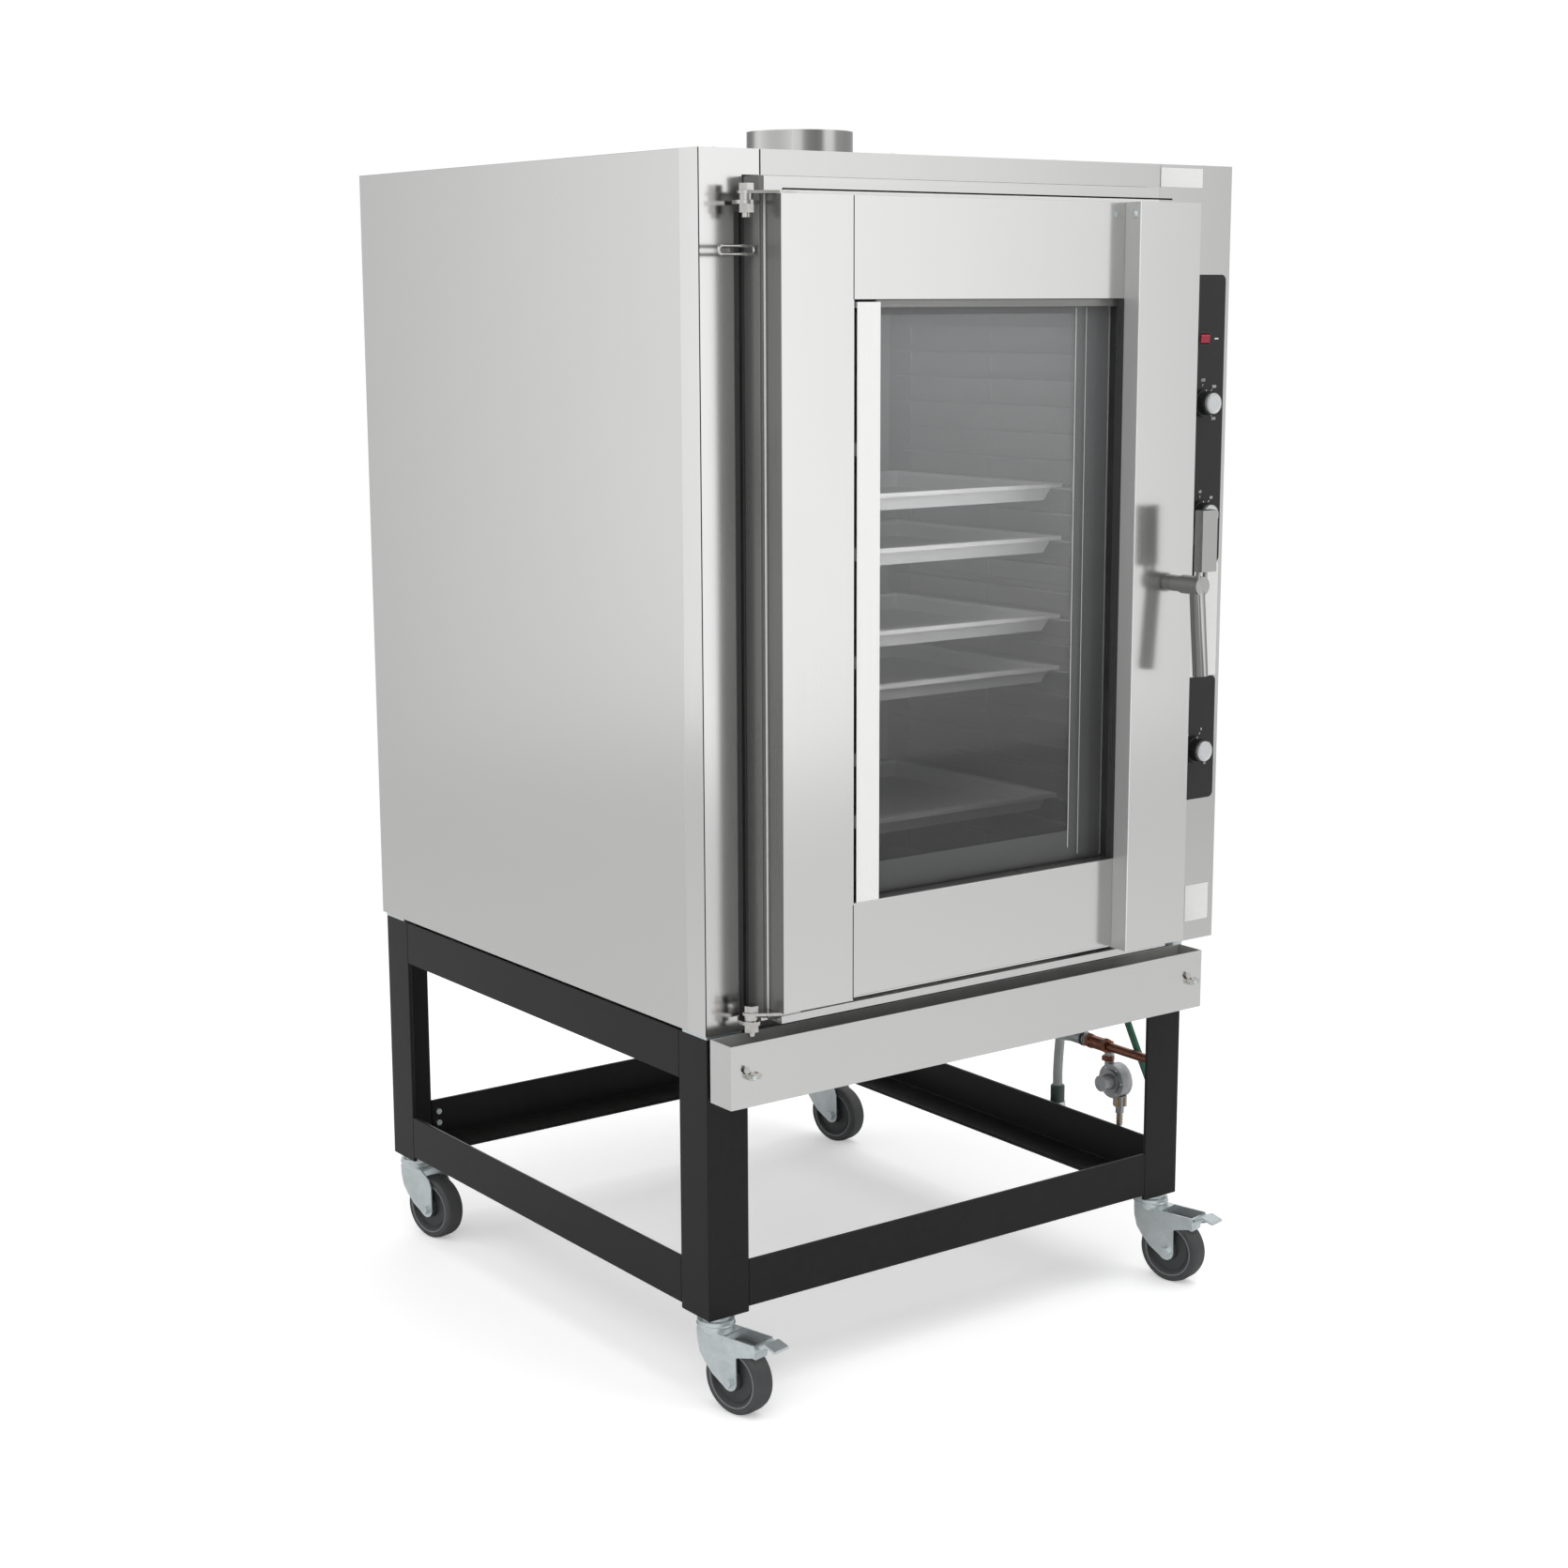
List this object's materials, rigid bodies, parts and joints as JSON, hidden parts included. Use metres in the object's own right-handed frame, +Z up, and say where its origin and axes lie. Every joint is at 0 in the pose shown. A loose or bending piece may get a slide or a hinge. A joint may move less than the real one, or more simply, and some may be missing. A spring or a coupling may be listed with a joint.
{
  "type": "convection oven",
  "caption": "Gas convection oven with a side-hung glass door, lever handle, tray chamber, fan and drip trough on a wheeled angle-iron stand.",
  "frame": {"origin": "on the floor under the middle of the whole oven's bounding box, handle included", "axes": "+Z up, the door faces -Y, +X towards the control side"},
  "size_m": [0.984, 1.124, 1.824],
  "materials": {
    "black_steel": "satin powder coat",
    "zinc": "zinc plated",
    "stainless": "brushed stainless",
    "chamber_steel": "dull stainless",
    "tray_aluminium": "plain rolled",
    "black_plastic": "matte",
    "black_rubber": "matte",
    "wool": "mineral wool",
    "motor_grey": "satin",
    "heat_steel": "heat tinted",
    "cast_metal": "die cast",
    "copper": "worn copper",
    "grey_hose": "matte",
    "green_hose": "satin",
    "dark_glass": "clear, slightly grey",
    "polished_steel": "polished stainless",
    "red_plastic": "gloss",
    "tyre_rubber": "matte"
  },
  "bodies": {
    "cabinet": {"stand_legs": "black_steel", "stand_rails": "black_steel", "stand_fixings": "zinc", "base_panel": "stainless", "side_panels": "stainless", "back_panel": "stainless", "roof_panel": "stainless", "front_panels": "stainless", "control_overlay": "black_plastic", "control_units": "black_plastic", "chamber_frame": "chamber_steel", "frame_seal": "black_rubber", "cavity_liner": "chamber_steel", "insulation": "wool", "tray_rack": "chamber_steel", "fan_baffle": "chamber_steel", "fan_motor": "motor_grey", "heat_exchanger": "heat_steel", "flue_collar": "stainless", "hinge_brackets": "zinc", "latch_keeper": "black_plastic", "gas_regulator": "cast_metal", "gas_pipe": "copper", "grey_hoses": "grey_hose", "green_tube": "green_hose", "drip_trough": "stainless"},
    "door": {"door_hinge_stile": "stainless", "door_lever_stile": "stainless", "door_rails": "stainless", "door_pan": "stainless", "door_glass": "dark_glass", "glass_strip": "stainless", "door_gasket": "black_rubber", "drip_rail": "stainless", "door_straps": "zinc"},
    "lever": {"lever_shaft": "polished_steel", "handle_lever": "polished_steel"},
    "rocker_switch": {"rocker": "red_plastic"},
    "fan": {"fan_impeller": "chamber_steel"},
    "nut_left": {"wing_nut_left": "zinc"},
    "nut_right": {"wing_nut_right": "zinc"},
    "control_knob_1": {"knob_1": "black_plastic"},
    "control_knob_2": {"knob_2": "black_plastic"},
    "control_knob_3": {"knob_3": "black_plastic"},
    "baking_tray_1": {"tray_1": "tray_aluminium"},
    "baking_tray_2": {"tray_2": "tray_aluminium"},
    "baking_tray_3": {"tray_3": "tray_aluminium"},
    "baking_tray_4": {"tray_4": "tray_aluminium"},
    "baking_tray_5": {"tray_5": "tray_aluminium"},
    "castor_front_left": {"fork_front_left": "zinc"},
    "roller_front_left": {"wheel_front_left": "tyre_rubber"},
    "castor_front_right": {"fork_front_right": "zinc"},
    "roller_front_right": {"wheel_front_right": "tyre_rubber"},
    "castor_rear_left": {"fork_rear_left": "zinc"},
    "roller_rear_left": {"wheel_rear_left": "tyre_rubber"},
    "castor_rear_right": {"fork_rear_right": "zinc"},
    "roller_rear_right": {"wheel_rear_right": "tyre_rubber"},
    "brake_left": {"pedal_left": "zinc"},
    "brake_right": {"pedal_right": "zinc"}
  },
  "joints": [
    {"name": "door_hinge", "type": "hinge", "parent": "cabinet", "child": "door", "pos_m": [-0.44, -0.426, 1.148], "axis": [0, 0, -1], "range_deg": [0, 120]},
    {"name": "lever_turn", "type": "hinge", "parent": "door", "child": "lever", "pos_m": [0.29, -0.53, 1.146], "axis": [0, -1, 0], "range_deg": [0, 90]},
    {"name": "rocker_tilt", "type": "hinge", "parent": "cabinet", "child": "rocker_switch", "pos_m": [0.44, -0.389, 1.501], "axis": [1, 0, 0], "range_deg": [-16, 0]},
    {"name": "knob_turn_1", "type": "hinge", "parent": "cabinet", "child": "control_knob_1", "pos_m": [0.44, -0.4, 1.404], "axis": [0, 1, 0], "range_deg": [0, 270]},
    {"name": "knob_turn_2", "type": "hinge", "parent": "cabinet", "child": "control_knob_2", "pos_m": [0.44, -0.4, 1.234], "axis": [0, 1, 0], "range_deg": [0, 270]},
    {"name": "knob_turn_3", "type": "hinge", "parent": "cabinet", "child": "control_knob_3", "pos_m": [0.44, -0.4, 0.866], "axis": [0, 1, 0], "range_deg": [0, 270]},
    {"name": "fan_spin", "type": "hinge", "parent": "cabinet", "child": "fan", "pos_m": [-0.051, 0.23, 1.148], "axis": [0, 1, 0], "continuous": true},
    {"name": "tray_slide_1", "type": "slide", "parent": "cabinet", "child": "baking_tray_1", "axis": [0, -1, 0], "range_m": [0, 0.1]},
    {"name": "tray_slide_2", "type": "slide", "parent": "cabinet", "child": "baking_tray_2", "axis": [0, -1, 0], "range_m": [0, 0.1]},
    {"name": "tray_slide_3", "type": "slide", "parent": "cabinet", "child": "baking_tray_3", "axis": [0, -1, 0], "range_m": [0, 0.1]},
    {"name": "tray_slide_4", "type": "slide", "parent": "cabinet", "child": "baking_tray_4", "axis": [0, -1, 0], "range_m": [0, 0.1]},
    {"name": "tray_slide_5", "type": "slide", "parent": "cabinet", "child": "baking_tray_5", "axis": [0, -1, 0], "range_m": [0, 0.1]},
    {"name": "nut_turn_left", "type": "hinge", "parent": "cabinet", "child": "nut_left", "pos_m": [-0.455, -0.446, 0.5095], "axis": [0, -1, 0], "continuous": true},
    {"name": "nut_turn_right", "type": "hinge", "parent": "cabinet", "child": "nut_right", "pos_m": [0.393, -0.446, 0.5095], "axis": [0, -1, 0], "continuous": true},
    {"name": "swivel_front_left", "type": "hinge", "parent": "cabinet", "child": "castor_front_left", "pos_m": [-0.4575, -0.359, 0.125], "axis": [0, 0, 1], "continuous": true},
    {"name": "roll_front_left", "type": "hinge", "parent": "castor_front_left", "child": "roller_front_left", "pos_m": [-0.4476, -0.40187, 0.0525], "axis": [0.9744, 0.225, 0], "continuous": true},
    {"name": "swivel_front_right", "type": "hinge", "parent": "cabinet", "child": "castor_front_right", "pos_m": [0.4015, -0.359, 0.125], "axis": [0, 0, 1], "continuous": true},
    {"name": "roll_front_right", "type": "hinge", "parent": "castor_front_right", "child": "roller_front_right", "pos_m": [0.4114, -0.40187, 0.0525], "axis": [0.9744, 0.225, 0], "continuous": true},
    {"name": "swivel_rear_left", "type": "hinge", "parent": "cabinet", "child": "castor_rear_left", "pos_m": [-0.4575, 0.532, 0.125], "axis": [0, 0, 1], "continuous": true},
    {"name": "roll_rear_left", "type": "hinge", "parent": "castor_rear_left", "child": "roller_rear_left", "pos_m": [-0.4476, 0.48913, 0.0525], "axis": [0.9744, 0.225, 0], "continuous": true},
    {"name": "swivel_rear_right", "type": "hinge", "parent": "cabinet", "child": "castor_rear_right", "pos_m": [0.4015, 0.532, 0.125], "axis": [0, 0, 1], "continuous": true},
    {"name": "roll_rear_right", "type": "hinge", "parent": "castor_rear_right", "child": "roller_rear_right", "pos_m": [0.4114, 0.48913, 0.0525], "axis": [0.9744, 0.225, 0], "continuous": true},
    {"name": "brake_press_left", "type": "hinge", "parent": "castor_front_left", "child": "brake_left", "pos_m": [-0.4386, -0.44085, 0.107], "axis": [0.9744, 0.225, 0], "range_deg": [0, 12]},
    {"name": "brake_press_right", "type": "hinge", "parent": "castor_front_right", "child": "brake_right", "pos_m": [0.4204, -0.44085, 0.107], "axis": [0.9744, 0.225, 0], "range_deg": [0, 12]}
  ]
}
